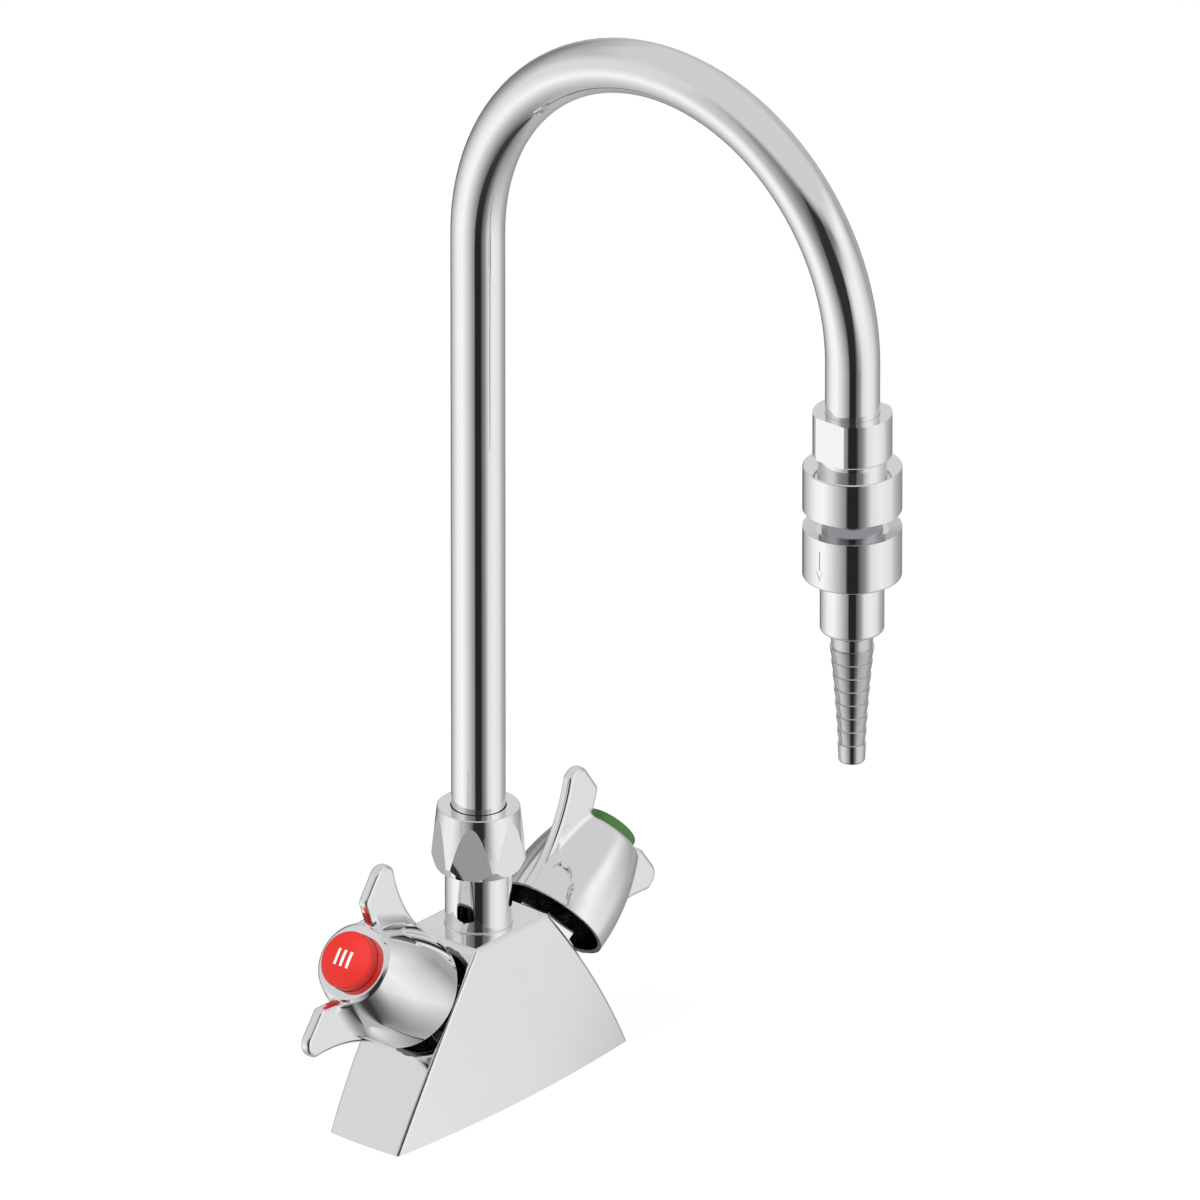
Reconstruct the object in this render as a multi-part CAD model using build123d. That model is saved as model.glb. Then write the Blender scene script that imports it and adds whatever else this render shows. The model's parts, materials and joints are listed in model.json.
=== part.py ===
from build123d import *
import math
import os

# Lengths are in millimetres and angles in degrees.
# The origin is the centre of the base on the deck. +Z is up and the spout points to -Y.

# Body casting
base_length = 111.7
base_depth = 28.4
top_length = 35.0
body_height = 57.9
slant_bow = 2.1
front_bow = 3.0
end_bow = 0.6
body_edge_round = 1.3

# Clearances
fit_play = 0.05
run_play = 0.08
face_gap = 0.1
overrun = 6.0

# Deck side of the body
inlet_spacing = 63.5
gasket_inset = 2.0
gasket_land = 2.7
inlet_radius = base_depth / 2 - gasket_inset - gasket_land
inlet_depth = 13.5
fixing_radius = 3.4
fixing_depth = 11.0
gasket_thickness = 1.6
gasket_hole_margin = 0.8
gallery_height = 16.6
gallery_radius = 3.0
riser_radius = 3.2
riser_x = 8.5
riser_top = 27.5
cross_height = 41.0
cross_radius = 3.0
cross_half_length = 14.0
chamber_radius = 6.5
chamber_bottom = 39.0

# Valve axes: where they leave the slanted end faces, and their rise above the deck plane
valve_share = 0.3155
valve_drop = 15.9
valve_x = (top_length + valve_share * (base_length - top_length)) / 2
valve_z = body_height - valve_drop
valve_rise = 36.1
spot_radius = 12.8
spot_depth = 0.6
cavity_radius = 9.0
cavity_depth = 22.0
seat_drill_radius = 3.4
seat_drill_depth = 5.5

# Valve bonnet, a flanged hexagonal nut
bonnet_flange_radius = 12.2
bonnet_flange_height = 1.9
bonnet_hex_across = 19.0
bonnet_hex_height = 5.0
bonnet_hex_turn = 30.0
bonnet_thread_length = 8.2
bonnet_bore_radius = 7.2

# Ceramic cartridge, measured along the valve axis
barrel_radius = 8.6
barrel_bottom = -20.4
neck_top = 9.5
disc_chamber_radius = 7.3
disc_chamber_top = -12.5
stem_radius = 4.5
disc_radius = 6.9
moving_disc_height = 2.4
fixed_disc_height = 2.8
disc_gap = 0.05
disc_port_radius = 1.7
disc_port_offset = 4.2
window_width = 6.0
window_height = 2.6
seat_seal_inner = 6.2
seat_seal_outer = 8.8
stem_plate_height = 2.3
stem_spline_radius = 4.1
stem_spline_sides = 12
stem_spline_start = 11.5
stem_top = 31.3
clip_height = 0.8
clip_outer_radius = 6.2
clip_groove_depth = 0.45
ring_section = 1.4
stem_ring_place = -5.0
barrel_ring_place = -10.2

# Handle: a hollow bell with two wings, measured along the valve axis
rim_place = 6.8
rim_radius = 18.7
bell_mid_place = 25.5
bell_mid_radius = 17.2
hub_edge_place = 38.0
hub_edge_radius = 13.2
hub_face_place = 38.9
hub_face_radius = 12.0
bell_wall = 1.5
bell_ceiling = 31.8
boss_radius = 7.0
boss_start = 19.0
cap_radius = 9.5
cap_recess_floor = 34.5
cap_recess_lip = 38.75
cap_edge_place = 42.6
cap_crown = 1.9
cap_edge_round = 0.9
cap_hollow_radius = 4.4
cap_hollow_depth = 3.0
wing_thickness = 3.8
wing_reach = 32.4
wing_front = 47.0
wing_knee_reach = 17.8
wing_knee_place = 46.8
wing_root_reach = 12.0
wing_root_place = 38.0
wing_foot_reach = 9.0
wing_foot_place = 34.0
wing_tip_back = 40.3
wing_heel_reach = 18.95
wing_waist_place = 24.1
wing_waist_reach = 22.4
wing_knee_round = 2.6
wing_tip_round = 4.6
wing_back_round = 2.2
wing_flare = 4.2
wing_flare_reach = 19.0
wing_overhang = 4.5
wing_flank = 27.5
wing_flank_top = 28.0
mark_length = 4.4
mark_width = 2.0
mark_depth = 0.4
mark_shift = -1.0
screw_radius = 2.0
screw_head_radius = 3.6
screw_head_height = 2.3
screw_length = 10.0
screw_runout = 2.0
screw_socket_across = 2.5
screw_socket_depth = 1.4

# Spout post and coupling nut. A drop or a rise is measured from the place named in front of it
post_radius = 10.6
post_foot_radius = 10.9
post_foot_height = 1.3
post_foot_round = 0.5
post_thread_radius = 10.0
post_barrel_height = 19.1
post_thread_length = 14.0
post_shoulder = body_height + post_barrel_height
post_top = post_shoulder + post_thread_length
post_spigot_radius = 8.4
post_spigot_length = 10.0
post_socket_radius = 7.6
post_socket_depth = 28.0
post_socket_bottom = post_top - post_socket_depth
post_bore_radius = 5.6
post_ring_section = 1.5
nut_height = 20.7
nut_belt_rise = 3.1
nut_bottom_gap = 0.3
nut_bottom = post_shoulder + nut_bottom_gap
nut_belt_place = nut_bottom + nut_belt_rise
nut_top = nut_bottom + nut_height
nut_bottom_radius = 13.5
nut_belt_radius = 15.0
nut_top_radius = 13.1
nut_flat_across = 26.8
nut_flat_turn = 0.0
nut_web = 2.6
nut_edge_round = 0.4
nut_hole_radius = 8.95

# Gooseneck and its swivel collar
tube_radius = 8.6
tube_wall = 2.0
tube_rise = 203.1
spout_reach = 152.4
collar_radius = 9.8
collar_height = 3.0
collar_gap = 0.3
collar_shelf = 1.0
tube_foot = post_top + collar_gap + collar_shelf
arch_centre_height = tube_foot + tube_rise
collar_spigot_bottom = post_socket_bottom + collar_shelf
collar_bore_radius = 5.2
swivel_ring_section = 1.3
swivel_ring_inset = 6.5
swivel_ring_places = (post_socket_bottom + swivel_ring_inset, post_top - swivel_ring_inset)

# Vacuum breaker, from the inlet adapter down
adapter_drop = 16.7
adapter_height = 14.5
adapter_neck_height = 3.8
adapter_top = arch_centre_height - adapter_drop
adapter_bottom = adapter_top - adapter_height
adapter_radius = 12.48
adapter_flat_across = 22.2
adapter_edge_round = 0.8
adapter_neck_radius = 10.84
adapter_socket_depth = 8.5
adapter_bore_radius = 6.0
adapter_spigot_radius = 8.0
adapter_spigot_length = 8.0
canopy_height = 14.5
canopy_top = adapter_bottom - adapter_neck_height
canopy_bottom = canopy_top - canopy_height
canopy_radius = 15.6
canopy_wall = 1.4
canopy_plate = 2.5
canopy_edge_round = 0.5
core_radius = 9.6
core_bore_radius = 6.6
air_gap = 6.1
vent_radius = 1.5
vent_count = 6
vent_rise = 3.3
vent_height = canopy_bottom + vent_rise
cup_height = 16.9
cup_top = canopy_bottom - air_gap
cup_bottom = cup_top - cup_height
cup_floor_thickness = 3.7
cup_floor = cup_bottom + cup_floor_thickness
cup_land = 1.8
cup_lip_drop = 1.2
cup_edge_round = 0.8
tail_height = 18.8
tail_bottom = cup_bottom - tail_height
tail_radius = 10.1
tail_edge_round = 1.3
tail_spigot_radius = 8.6
tail_bore_radius = 5.4
spring_seat_rise = 4.4
spring_seat = cup_floor + spring_seat_rise
spider_hole_radius = 1.2
spider_hole_offset = 3.9
spider_hole_count = 6
spider_thickness = 2.4
seat_ring_rise = 1.5
seat_ring_top = canopy_bottom + seat_ring_rise
seat_ring_height = 2.2
seat_ring_inner_radius = 4.3
poppet_head_radius = 5.6
poppet_head_height = 2.2
poppet_stem_radius = 1.75
poppet_stem_reach = 5.0
diaphragm_height = 1.2
diaphragm_drop = 6.8
diaphragm_top = seat_ring_top - diaphragm_drop
diaphragm_inner_radius = 4.9
spring_wire = 0.8
spring_radius = 3.6
spring_turns = 6

# Hose nozzle
nozzle_shank_radius = 6.0
nozzle_shank_length = 9.0
nozzle_washer_height = 1.3
nozzle_washer_radius = 6.45
nozzle_collar_radius = 6.65
nozzle_collar_foot = 6.45
nozzle_bore_radius = 2.9
nozzle_length = 45.1
nozzle_tip = tail_bottom - nozzle_length
barb_top_drop = 5.5
barb_span = 33.2
barb_top = tail_bottom - barb_top_drop
barb_bottom = barb_top - barb_span
barb_count = 8
barb_first_radius = 7.05
barb_last_radius = 4.45
barb_first_root = 6.15
barb_last_root = 3.95
barb_bow = 0.2
tip_radius = 4.15
tip_round = 1.0

# Arrow on the cup that shows which way the water flows
arrow_depth = 0.15
arrow_width = 0.7
arrow_drop = 3.6
arrow_length = 9.7
arrow_top = cup_top - arrow_drop
arrow_tip = arrow_top - arrow_length
arrow_head_height = 3.2
arrow_head_reach = 1.6


def turned(points):
    """A solid of revolution about local Z from (radius, place) points."""
    outline = Polyline([(radius, 0, place) for radius, place in points], close=True)
    return revolve(make_face(outline), Axis.Z, 360)


def rod(radius, low, high):
    return Pos(0, 0, low) * Cylinder(radius, high - low, align=(Align.CENTER, Align.CENTER, Align.MIN))


def tube(outer, inner, low, high):
    return rod(outer, low, high) - rod(inner, low - overrun, high + overrun)


def washer(outer, inner, low, height):
    return tube(outer, inner, low, low + height)


def cross_drill(radius, half_length, place):
    """A rod along local X at a given place on Z."""
    return Pos(0, 0, place) * Rot(0, 90, 0) * rod(radius, -half_length, half_length)


def o_ring(groove_root, section, place):
    return Pos(0, 0, place) * Torus(groove_root + (section + fit_play) / 2, section / 2)


def groove(outer, root, section, place):
    half = section / 2 + fit_play
    return tube(outer + overrun, root, place - half, place + half)


def hexagon_bar(across, low, high, turn=0):
    outline = RegularPolygon(across / 2, 6, major_radius=False, rotation=turn)
    return Pos(0, 0, low) * extrude(outline, high - low)


def ring_of(solid, count):
    """Copies of a solid spread evenly about local Z."""
    copies = [Rot(0, 0, index * 360 / count) * solid for index in range(count)]
    return Compound(children=copies)


def round_rim(solid, radius, place, amount):
    """Round the circular edge of a given radius at a given height."""
    def on_rim(edge):
        if edge.geom_type != GeomType.CIRCLE:
            return False
        near = abs(edge.radius - radius) < fit_play
        return near and abs(edge.center().Z - place) < fit_play
    return fillet(solid.edges().filter_by(on_rim), amount)


def valve_plane(side):
    """Local frame of a valve: Z runs out along the handle's axis, X up the slanted end face."""
    rise = math.radians(valve_rise)
    out = (side * math.cos(rise), 0, math.sin(rise))
    up = (-side * math.sin(rise), 0, math.cos(rise))
    return Plane(origin=(side * valve_x, 0, valve_z), x_dir=up, z_dir=out)


# Body casting

def bow_radius(half_chord, bow):
    return (half_chord * half_chord + bow * bow) / (2 * bow)


def front_and_back():
    """A block whose long faces bulge at the deck and run out flat at the top."""
    half = base_length / 2
    radius = bow_radius(half, front_bow)
    wide = half + overrun
    mid_y = base_depth / 2 + front_bow
    end_y = mid_y - radius + math.sqrt(radius * radius - wide * wide)
    front = ThreePointArc((-wide, -end_y), (0, -mid_y), (wide, -end_y))
    right = Line((wide, -end_y), (wide, end_y))
    back = ThreePointArc((wide, end_y), (0, mid_y), (-wide, end_y))
    left = Line((-wide, end_y), (-wide, -end_y))
    foot = make_face(front + right + back + left)
    head = Pos(0, 0, body_height) * Rectangle(2 * wide, base_depth)
    return loft([foot, head], ruled=True)


def slanted_end(side):
    """The space inside one bowed end face, turned about a distant upright axis."""
    half = base_length / 2 + end_bow
    top_half = top_length / 2 + end_bow
    radius = bow_radius(base_depth / 2, end_bow)
    centre = half - radius
    waist = (half + top_half) / 2 + slant_bow
    slant = ThreePointArc((half, 0, 0), (waist, 0, body_height / 2), (top_half, 0, body_height))
    rest = Polyline((top_half, 0, body_height), (centre, 0, body_height), (centre, 0, 0), (half, 0, 0))
    solid = revolve(make_face(slant + rest), Axis((centre, 0, 0), (0, 0, 1)), 360)
    return solid if side > 0 else mirror(solid, Plane.YZ)


def body_blank():
    blank = front_and_back() & slanted_end(1) & slanted_end(-1)
    raised = blank.edges().filter_by(lambda edge: edge.center().Z > body_edge_round)
    return fillet(raised, body_edge_round)


def valve_cavity(side):
    spot = rod(spot_radius, -spot_depth, spot_depth + overrun)
    bore = rod(cavity_radius, -cavity_depth, overrun)
    drill = rod(seat_drill_radius, -cavity_depth - seat_drill_depth, -cavity_depth + fit_play)
    return valve_plane(side) * (spot + bore + drill)


def inlet_passages(side):
    x = side * inlet_spacing / 2
    half_gallery = (inlet_spacing / 2 - riser_x) / 2
    socket = Pos(x, 0, 0) * rod(inlet_radius, -overrun, inlet_depth)
    lift = Pos(x, 0, 0) * rod(gallery_radius, 0, gallery_height)
    corner = Pos(x, 0, gallery_height) * Sphere(gallery_radius)
    gallery = Pos(side * (riser_x + half_gallery), 0, 0) * cross_drill(
        gallery_radius, half_gallery, gallery_height)
    riser = Pos(side * riser_x, 0, 0) * rod(riser_radius, gallery_height, riser_top)
    return socket + lift + corner + gallery + riser


def gasket_outline(inset):
    depth = base_depth - 2 * inset
    return RectangleRounded(base_length - 2 * inset, depth, depth / 4)


def deck_holes(margin):
    holes = rod(fixing_radius + margin, -overrun, overrun)
    for side in (-1, 1):
        holes += Pos(side * inlet_spacing / 2, 0, 0) * rod(inlet_radius + margin, -overrun, overrun)
    return holes


def body_casting():
    body = body_blank()
    body -= rod(post_spigot_radius + fit_play, body_height - post_spigot_length, body_height + overrun)
    body -= rod(chamber_radius, chamber_bottom, body_height)
    body -= cross_drill(cross_radius, cross_half_length, cross_height)
    body -= rod(fixing_radius, -overrun, fixing_depth)
    for side in (-1, 1):
        body -= valve_cavity(side)
        body -= inlet_passages(side)
    recess = extrude(gasket_outline(gasket_inset), gasket_thickness) - deck_holes(gasket_hole_margin)
    return body - recess


def base_gasket():
    sheet = extrude(gasket_outline(gasket_inset + fit_play), gasket_thickness)
    return sheet - deck_holes(gasket_hole_margin + fit_play)


# Valves, built about local Z

def barrel_top():
    return -spot_depth - bonnet_thread_length


def disc_levels():
    """Lower and upper face of the fixed disc, then of the moving disc."""
    fixed_high = barrel_bottom + fixed_disc_height
    moving_low = fixed_high + disc_gap
    return barrel_bottom, fixed_high, moving_low, moving_low + moving_disc_height


def bonnet():
    flange_top = bonnet_flange_height - spot_depth
    solid = rod(bonnet_flange_radius, -spot_depth, flange_top)
    solid += hexagon_bar(bonnet_hex_across, flange_top, flange_top + bonnet_hex_height, bonnet_hex_turn)
    solid += rod(cavity_radius - fit_play, barrel_top(), -spot_depth)
    return solid - rod(bonnet_bore_radius, barrel_top() - overrun, neck_top + overrun)


def port_pair(low, high, turn):
    ports = [Pos(reach, 0, 0) * rod(disc_port_radius, low - overrun, high + overrun)
             for reach in (disc_port_offset, -disc_port_offset)]
    return Rot(0, 0, turn) * Compound(children=ports)


def stem_ring_root():
    return stem_radius - ring_section - fit_play


def barrel_ring_root():
    return cavity_radius - ring_section - fit_play


def cartridge_body():
    solid = rod(barrel_radius, barrel_bottom, barrel_top())
    solid += rod(bonnet_bore_radius - fit_play, barrel_top(), neck_top)
    solid -= rod(disc_chamber_radius, barrel_bottom - overrun, disc_chamber_top)
    solid -= rod(stem_radius + run_play, disc_chamber_top - overrun, neck_top + overrun)
    solid -= groove(barrel_radius, barrel_ring_root(), ring_section, barrel_ring_place)
    window = Box(4 * barrel_radius, window_width, window_height)
    return solid - Pos(0, 0, disc_chamber_top - window_height / 2) * window


def clip_groove_low():
    return neck_top + 2 * face_gap


def cartridge_stem():
    plate_low = disc_levels()[3]
    plate_high = plate_low + stem_plate_height
    solid = rod(disc_radius, plate_low, plate_high)
    solid -= port_pair(plate_low, plate_high, 90)
    solid += rod(stem_radius, plate_low, stem_spline_start)
    outline = RegularPolygon(stem_spline_radius, stem_spline_sides)
    solid += Pos(0, 0, stem_spline_start) * extrude(outline, stem_top - stem_spline_start)
    solid -= groove(stem_radius, stem_ring_root(), ring_section, stem_ring_place)
    clip_root = stem_radius - clip_groove_depth
    solid -= tube(stem_radius + overrun, clip_root, clip_groove_low(), clip_groove_low() + clip_height)
    thread_low = cap_recess_floor - screw_length - screw_runout
    return solid - rod(screw_radius + fit_play, thread_low, stem_top + overrun)


def stem_clip():
    inner = stem_radius - clip_groove_depth + fit_play
    ring = washer(clip_outer_radius, inner, clip_groove_low() + fit_play, clip_height - 2 * fit_play)
    mouth = Box(2 * clip_outer_radius, stem_radius, 2 * stem_top)
    return ring - Pos(clip_outer_radius, 0, 0) * mouth


def moving_disc():
    low, high = disc_levels()[2:]
    return rod(disc_radius, low, high) - port_pair(low, high, 90)


def fixed_disc():
    low, high = disc_levels()[:2]
    return rod(disc_chamber_radius - fit_play, low, high) - port_pair(low, high, 0)


def seat_seal():
    return washer(seat_seal_outer, seat_seal_inner, -cavity_depth, barrel_bottom + cavity_depth)


def stem_o_ring():
    return o_ring(stem_ring_root(), ring_section, stem_ring_place)


def barrel_o_ring():
    return o_ring(barrel_ring_root(), ring_section, barrel_ring_place)


# Handles, built about local Z

def bell_side(radius_change, low, high):
    """The bowed side of the bell, moved in or out by a wall."""
    middle = (bell_mid_radius + radius_change, 0, bell_mid_place)
    return ThreePointArc((rim_radius + radius_change, 0, low), middle,
                         (hub_edge_radius + radius_change, 0, high))


def bell_blank():
    side = bell_side(0, rim_place, hub_edge_place)
    rest = Polyline((hub_edge_radius, 0, hub_edge_place), (hub_face_radius, 0, hub_face_place),
                    (cap_radius, 0, cap_recess_lip), (0, 0, cap_recess_lip), (0, 0, rim_place),
                    (rim_radius, 0, rim_place))
    return revolve(make_face(side + rest), Axis.Z, 360)


def bell_hollow():
    wall_radius = hub_edge_radius - bell_wall
    side = bell_side(-bell_wall, rim_place, bell_ceiling)
    rest = Polyline((wall_radius, 0, bell_ceiling), (boss_radius, 0, bell_ceiling),
                    (boss_radius, 0, boss_start), (0, 0, boss_start), (0, 0, rim_place - overrun),
                    (rim_radius - bell_wall, 0, rim_place - overrun), (rim_radius - bell_wall, 0, rim_place))
    return revolve(make_face(side + rest), Axis.Z, 360)


def wing_plate():
    """One flat wing, still straight along its trailing side."""
    outline = Polyline(
        (wing_foot_reach, 0, wing_foot_place), (wing_root_reach, 0, wing_root_place),
        (wing_knee_reach, 0, wing_knee_place), (wing_reach, 0, wing_front),
        (wing_reach, 0, wing_foot_place - wing_overhang), (wing_flank, 0, wing_flank_top),
        (wing_flank, 0, rim_place), (wing_foot_reach, 0, rim_place), close=True)
    plate = extrude(make_face(outline), wing_thickness / 2, dir=(0, 1, 0), both=True)
    plate = fillet(cross_edges(plate, wing_knee_reach, wing_knee_place), wing_knee_round)
    return fillet(cross_edges(plate, wing_reach, wing_front), wing_tip_round)


def cross_edges(solid, reach, place):
    """Edges across the wing's thickness at a given corner of its outline."""
    def at_corner(edge):
        middle = edge.center()
        near = abs(abs(middle.X) - reach) < fit_play and abs(middle.Z - place) < fit_play
        return near and abs(middle.Y) < fit_play
    return solid.edges().filter_by(at_corner)


def wing_roots(solid):
    """Edges where the flat sides of the wings leave the bell."""
    def at_root(edge):
        middle = edge.center()
        curved = edge.geom_type in (GeomType.BSPLINE, GeomType.HYPERBOLA)
        beside = abs(abs(middle.Y) - wing_thickness / 2) < clip_height
        return curved and beside and math.hypot(middle.X, middle.Y) < wing_flare_reach
    return solid.edges().filter_by(at_root)


def trailing_cut():
    """The space behind the concave trailing edge of one wing."""
    low = rim_place - face_gap
    curve = ThreePointArc((wing_heel_reach, 0, low), (wing_waist_reach, 0, wing_waist_place),
                          (wing_reach, 0, wing_tip_back))
    far = wing_reach + 2 * overrun
    rest = Polyline((wing_reach, 0, wing_tip_back), (far, 0, wing_tip_back), (far, 0, low),
                    (wing_heel_reach, 0, low))
    return extrude(make_face(curve + rest), rim_radius, dir=(0, 1, 0), both=True)


def winged_bell():
    solid = bell_blank() + wing_plate() + Rot(0, 0, 180) * wing_plate()
    solid = fillet(wing_roots(solid), wing_flare)
    solid = solid - trailing_cut() - Rot(0, 0, 180) * trailing_cut()
    return fillet(cross_edges(solid, wing_reach, wing_tip_back), wing_back_round)


def mark_spaces():
    """Shallow boxes on the slanted front edge of each wing, between hub and knee."""
    run = wing_knee_reach - wing_root_reach
    rise = wing_knee_place - wing_root_place
    lean = math.degrees(math.atan2(run, rise))
    middle = Pos((wing_knee_reach + wing_root_reach + mark_shift) / 2, 0,
                 (wing_knee_place + wing_root_place) / 2 + mark_shift * rise / run / 2)
    space = middle * Rot(0, lean, 0) * Box(2 * mark_depth, mark_width, mark_length)
    return Compound(children=[space, Rot(0, 0, 180) * space])


def plain_handle():
    solid = winged_bell() - bell_hollow()
    solid -= rod(cap_radius + fit_play, cap_recess_floor, wing_front)
    solid -= rod(screw_radius + fit_play, bell_ceiling - overrun, cap_recess_floor + overrun)
    bore = RegularPolygon(stem_spline_radius + fit_play, stem_spline_sides)
    return solid - Pos(0, 0, boss_start - overrun) * extrude(bore, bell_ceiling - boss_start + overrun)


def handle():
    return plain_handle() - mark_spaces()


def wing_marks():
    return plain_handle() & mark_spaces()


def index_cap():
    crown_radius = bow_radius(cap_radius, cap_crown)
    crown_top = cap_edge_place + cap_crown
    dome = Pos(0, 0, crown_top - crown_radius) * Sphere(crown_radius)
    solid = rod(cap_radius, cap_recess_floor, crown_top + overrun) & dome
    solid = round_rim(solid, cap_radius, cap_edge_place, cap_edge_round)
    return solid - rod(cap_hollow_radius, cap_recess_floor - overrun, cap_recess_floor + cap_hollow_depth)


def handle_screw():
    head_top = cap_recess_floor + screw_head_height
    solid = rod(screw_head_radius, cap_recess_floor, head_top)
    solid += rod(screw_radius, cap_recess_floor - screw_length, cap_recess_floor)
    return solid - hexagon_bar(screw_socket_across, head_top - screw_socket_depth, head_top + overrun)


# Spout post, swivel and coupling nut

def post_ring_root():
    return post_spigot_radius - post_ring_section


def post_ring_place():
    return body_height - post_spigot_length / 2


def spout_post():
    solid = rod(post_spigot_radius, body_height - post_spigot_length, body_height)
    foot = rod(post_foot_radius, body_height, body_height + post_foot_height)
    solid += round_rim(foot, post_foot_radius, body_height, post_foot_round)
    solid += rod(post_radius, body_height, post_shoulder)
    solid += rod(post_thread_radius, post_shoulder, post_top)
    solid -= rod(post_bore_radius, body_height - post_spigot_length - overrun, post_top)
    solid -= rod(post_socket_radius, post_socket_bottom, post_top + overrun)
    return solid - groove(post_spigot_radius, post_ring_root(), post_ring_section, post_ring_place())


def post_o_ring():
    return o_ring(post_ring_root(), post_ring_section, post_ring_place())


def collar_low():
    return post_top + collar_gap


def swivel_ring_root():
    return post_socket_radius - swivel_ring_section - face_gap


def swivel_collar():
    collar_top = collar_low() + collar_height
    spigot_radius = post_socket_radius - run_play
    solid = rod(spigot_radius, collar_spigot_bottom, collar_low())
    solid += rod(collar_radius, collar_low(), collar_top)
    solid -= rod(collar_bore_radius, collar_spigot_bottom - overrun, collar_top)
    solid -= rod(tube_radius + fit_play, tube_foot, collar_top + overrun)
    for place in swivel_ring_places:
        solid -= groove(spigot_radius, swivel_ring_root(), swivel_ring_section, place)
    return solid


def swivel_o_rings():
    rings = [o_ring(swivel_ring_root(), swivel_ring_section, place) for place in swivel_ring_places]
    return Compound(children=rings)


def thrust_washer():
    low = collar_low() + collar_height
    return washer(collar_radius, tube_radius + face_gap, low, nut_top - nut_web - face_gap - low)


def coupling_nut():
    solid = turned([(0, nut_bottom), (nut_bottom_radius, nut_bottom), (nut_belt_radius, nut_belt_place),
                    (nut_top_radius, nut_top), (0, nut_top)])
    solid = round_rim(solid, nut_top_radius, nut_top, nut_edge_round)
    solid &= hexagon_bar(nut_flat_across, nut_bottom - overrun, nut_top + overrun, nut_flat_turn)
    solid -= rod(post_thread_radius + fit_play, nut_bottom - overrun, nut_top - nut_web)
    return solid - rod(nut_hole_radius, nut_bottom, nut_top + overrun)


# Gooseneck

def adapter_socket_floor():
    return adapter_top - adapter_socket_depth


def gooseneck_tube():
    bend = spout_reach / 2
    rise = Line((0, 0, tube_foot), (0, 0, arch_centre_height))
    arch = ThreePointArc((0, 0, arch_centre_height), (0, -bend, arch_centre_height + bend),
                         (0, -spout_reach, arch_centre_height))
    drop = Line((0, -spout_reach, arch_centre_height), (0, -spout_reach, adapter_socket_floor()))
    section = Pos(0, 0, tube_foot) * (Circle(tube_radius) - Circle(tube_radius - tube_wall))
    return sweep(section, path=rise + arch + drop)


# Vacuum breaker, built about Z and then moved under the end of the gooseneck

def breaker_inlet_adapter():
    solid = round_rim(rod(adapter_radius, adapter_bottom, adapter_top),
                      adapter_radius, adapter_bottom, adapter_edge_round)
    solid &= Pos(0, 0, adapter_top) * Box(adapter_flat_across, 3 * adapter_radius, 3 * adapter_radius)
    solid += rod(adapter_neck_radius, canopy_top, adapter_bottom)
    solid += rod(adapter_spigot_radius, canopy_top - adapter_spigot_length, canopy_top)
    solid -= rod(tube_radius + fit_play, adapter_socket_floor(), adapter_top + overrun)
    return solid - rod(adapter_bore_radius, canopy_top - adapter_spigot_length - overrun, adapter_top)


def breaker_canopy():
    solid = rod(canopy_radius, canopy_bottom, canopy_top)
    solid = round_rim(solid, canopy_radius, canopy_top, canopy_edge_round)
    solid -= rod(canopy_radius - canopy_wall, canopy_bottom - overrun, canopy_top - canopy_plate)
    return solid - rod(adapter_spigot_radius + fit_play, canopy_bottom, canopy_top + overrun)


def breaker_core():
    core_top = canopy_top - canopy_plate
    solid = tube(core_radius, core_bore_radius, cup_floor, core_top)
    socket_low = canopy_top - adapter_spigot_length - fit_play
    solid -= rod(adapter_spigot_radius + fit_play, socket_low, core_top + overrun)
    vent = Pos(0, 0, vent_height) * Rot(0, 90, 0) * rod(vent_radius, 0, 2 * core_radius)
    return solid - ring_of(vent, vent_count)


def arrow_grooves():
    """A plain arrow that points down, cut into the side of the cup."""
    neck = arrow_tip + arrow_head_height
    half_angle = math.degrees(math.atan2(arrow_head_reach, arrow_head_height))
    barb = math.hypot(arrow_head_reach, arrow_head_height)
    shaft = Pos(0, 0, (arrow_top + neck) / 2) * Box(2 * arrow_depth, arrow_width, arrow_top - neck)
    grooves = shaft
    for way in (-1, 1):
        stroke = Pos(0, 0, barb / 2) * Box(2 * arrow_depth, arrow_width, barb)
        grooves += Pos(0, 0, arrow_tip) * Rot(way * half_angle, 0, 0) * stroke
    return Pos(-canopy_radius, 0, 0) * grooves


def breaker_body():
    land = core_radius + cup_land
    lip_low = cup_top - cup_lip_drop
    solid = turned([(0, cup_bottom), (canopy_radius, cup_bottom), (canopy_radius, cup_top),
                    (land, lip_low), (0, lip_low)])
    solid = round_rim(solid, canopy_radius, cup_bottom, cup_edge_round)
    solid -= rod(core_radius + fit_play, cup_floor, cup_top + overrun)
    solid -= rod(tail_spigot_radius + fit_play, cup_bottom - overrun, cup_top)
    return solid - arrow_grooves()


def breaker_outlet():
    solid = rod(tail_radius, tail_bottom, cup_bottom)
    solid = round_rim(solid, tail_radius, tail_bottom, tail_edge_round)
    solid += rod(tail_spigot_radius, cup_bottom, cup_floor)
    solid += rod(core_bore_radius - fit_play, cup_floor, spring_seat)
    solid -= rod(tail_bore_radius, tail_bottom, spring_seat - spider_thickness)
    solid -= rod(nozzle_shank_radius + fit_play, tail_bottom - overrun, tail_bottom + nozzle_shank_length)
    solid -= rod(poppet_stem_radius + run_play, tail_bottom, spring_seat + overrun)
    hole = Pos(spider_hole_offset, 0, 0) * rod(spider_hole_radius, tail_bottom, spring_seat + overrun)
    return solid - ring_of(hole, spider_hole_count)


def breaker_seat_ring():
    outer = core_bore_radius - fit_play
    return washer(outer, seat_ring_inner_radius, seat_ring_top - seat_ring_height, seat_ring_height)


def poppet_top():
    return seat_ring_top - seat_ring_height - face_gap


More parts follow.
